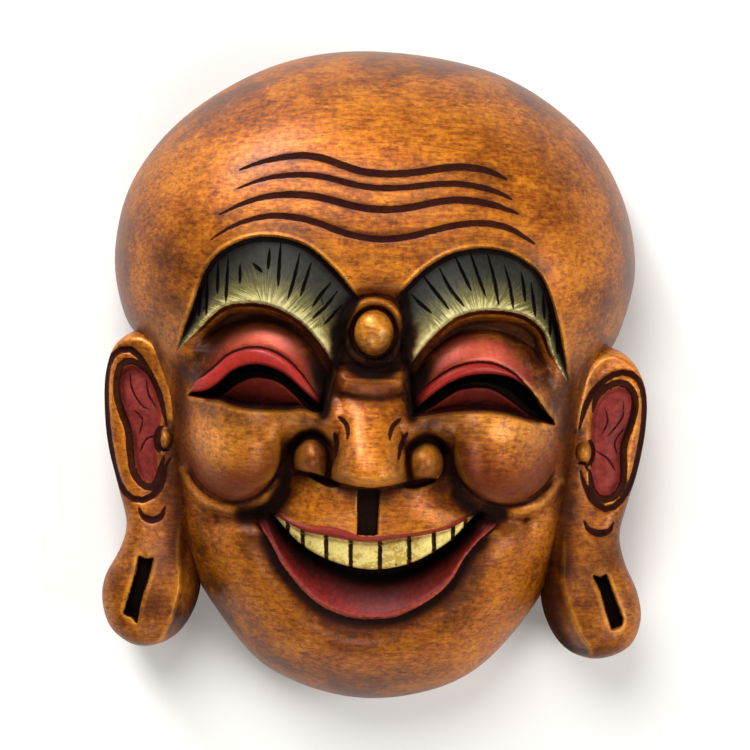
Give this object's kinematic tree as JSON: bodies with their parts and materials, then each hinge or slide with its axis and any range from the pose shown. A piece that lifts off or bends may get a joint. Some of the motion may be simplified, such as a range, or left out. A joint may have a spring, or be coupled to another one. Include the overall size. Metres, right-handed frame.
{
  "type": "laughing mask",
  "caption": "Carved wooden laughing mask with a high bald head, long ear lobes, slit eyes and an open toothy smile, hollowed behind for a face.",
  "frame": {"origin": "middle of the mask's outline, on the plane of the back rim that it lies on", "axes": "+Z out of the face, away from the back rim; +Y towards the crown of the head; +X towards the right of a viewer who faces the mask"},
  "size_m": [0.2514, 0.3008, 0.1241],
  "materials": {
    "gilded_wood": "antique copper-gold lacquer with dark creases, over carved wood"
  },
  "bodies": {
    "root": {"mask": "gilded_wood"}
  },
  "joints": []
}
